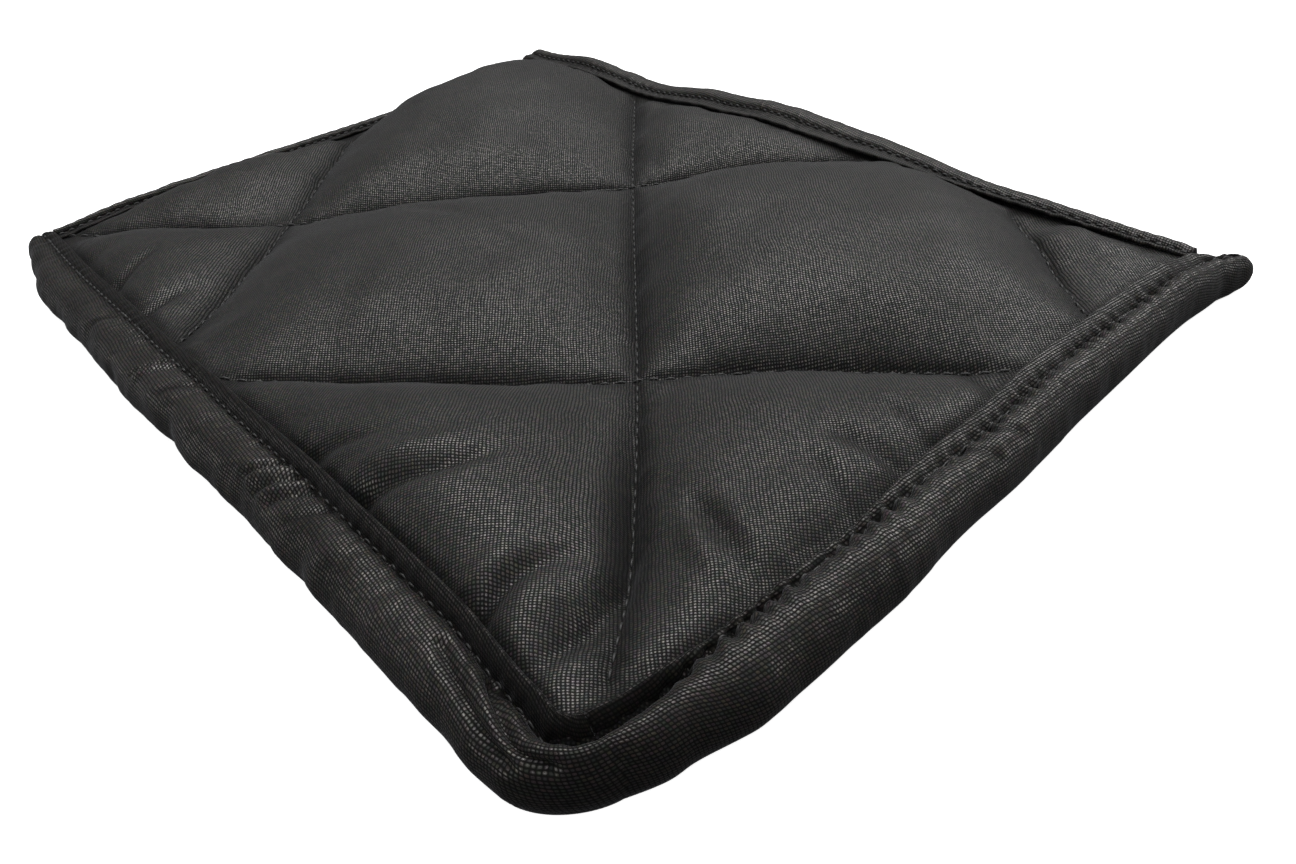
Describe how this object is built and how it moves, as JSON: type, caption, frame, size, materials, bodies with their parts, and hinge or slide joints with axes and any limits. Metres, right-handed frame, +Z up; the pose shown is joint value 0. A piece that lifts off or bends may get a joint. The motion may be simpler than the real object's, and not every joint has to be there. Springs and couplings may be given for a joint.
{
  "type": "quilted piano cover sample",
  "caption": "Rectangular padded panel of black woven nylon, diamond quilted and bound all round with the same cloth, lying flat.",
  "frame": {"origin": "under the middle of the footprint, on the surface the panel lies on", "axes": "+Z up; Y along the long edges; -Y is the short front edge and -X the long left edge, which meet at the near corner"},
  "size_m": [0.2106, 0.2734, 0.0204],
  "materials": {
    "panel_cloth": "plain woven black nylon, softly satin, puffed over batting",
    "binding_cloth": "the same plain woven black nylon, folded and stitched, with satin highlights"
  },
  "bodies": {
    "root": {"quilted_panel": "panel_cloth", "binding_left_and_front": "binding_cloth", "binding_right": "binding_cloth", "binding_back": "binding_cloth"}
  },
  "joints": []
}
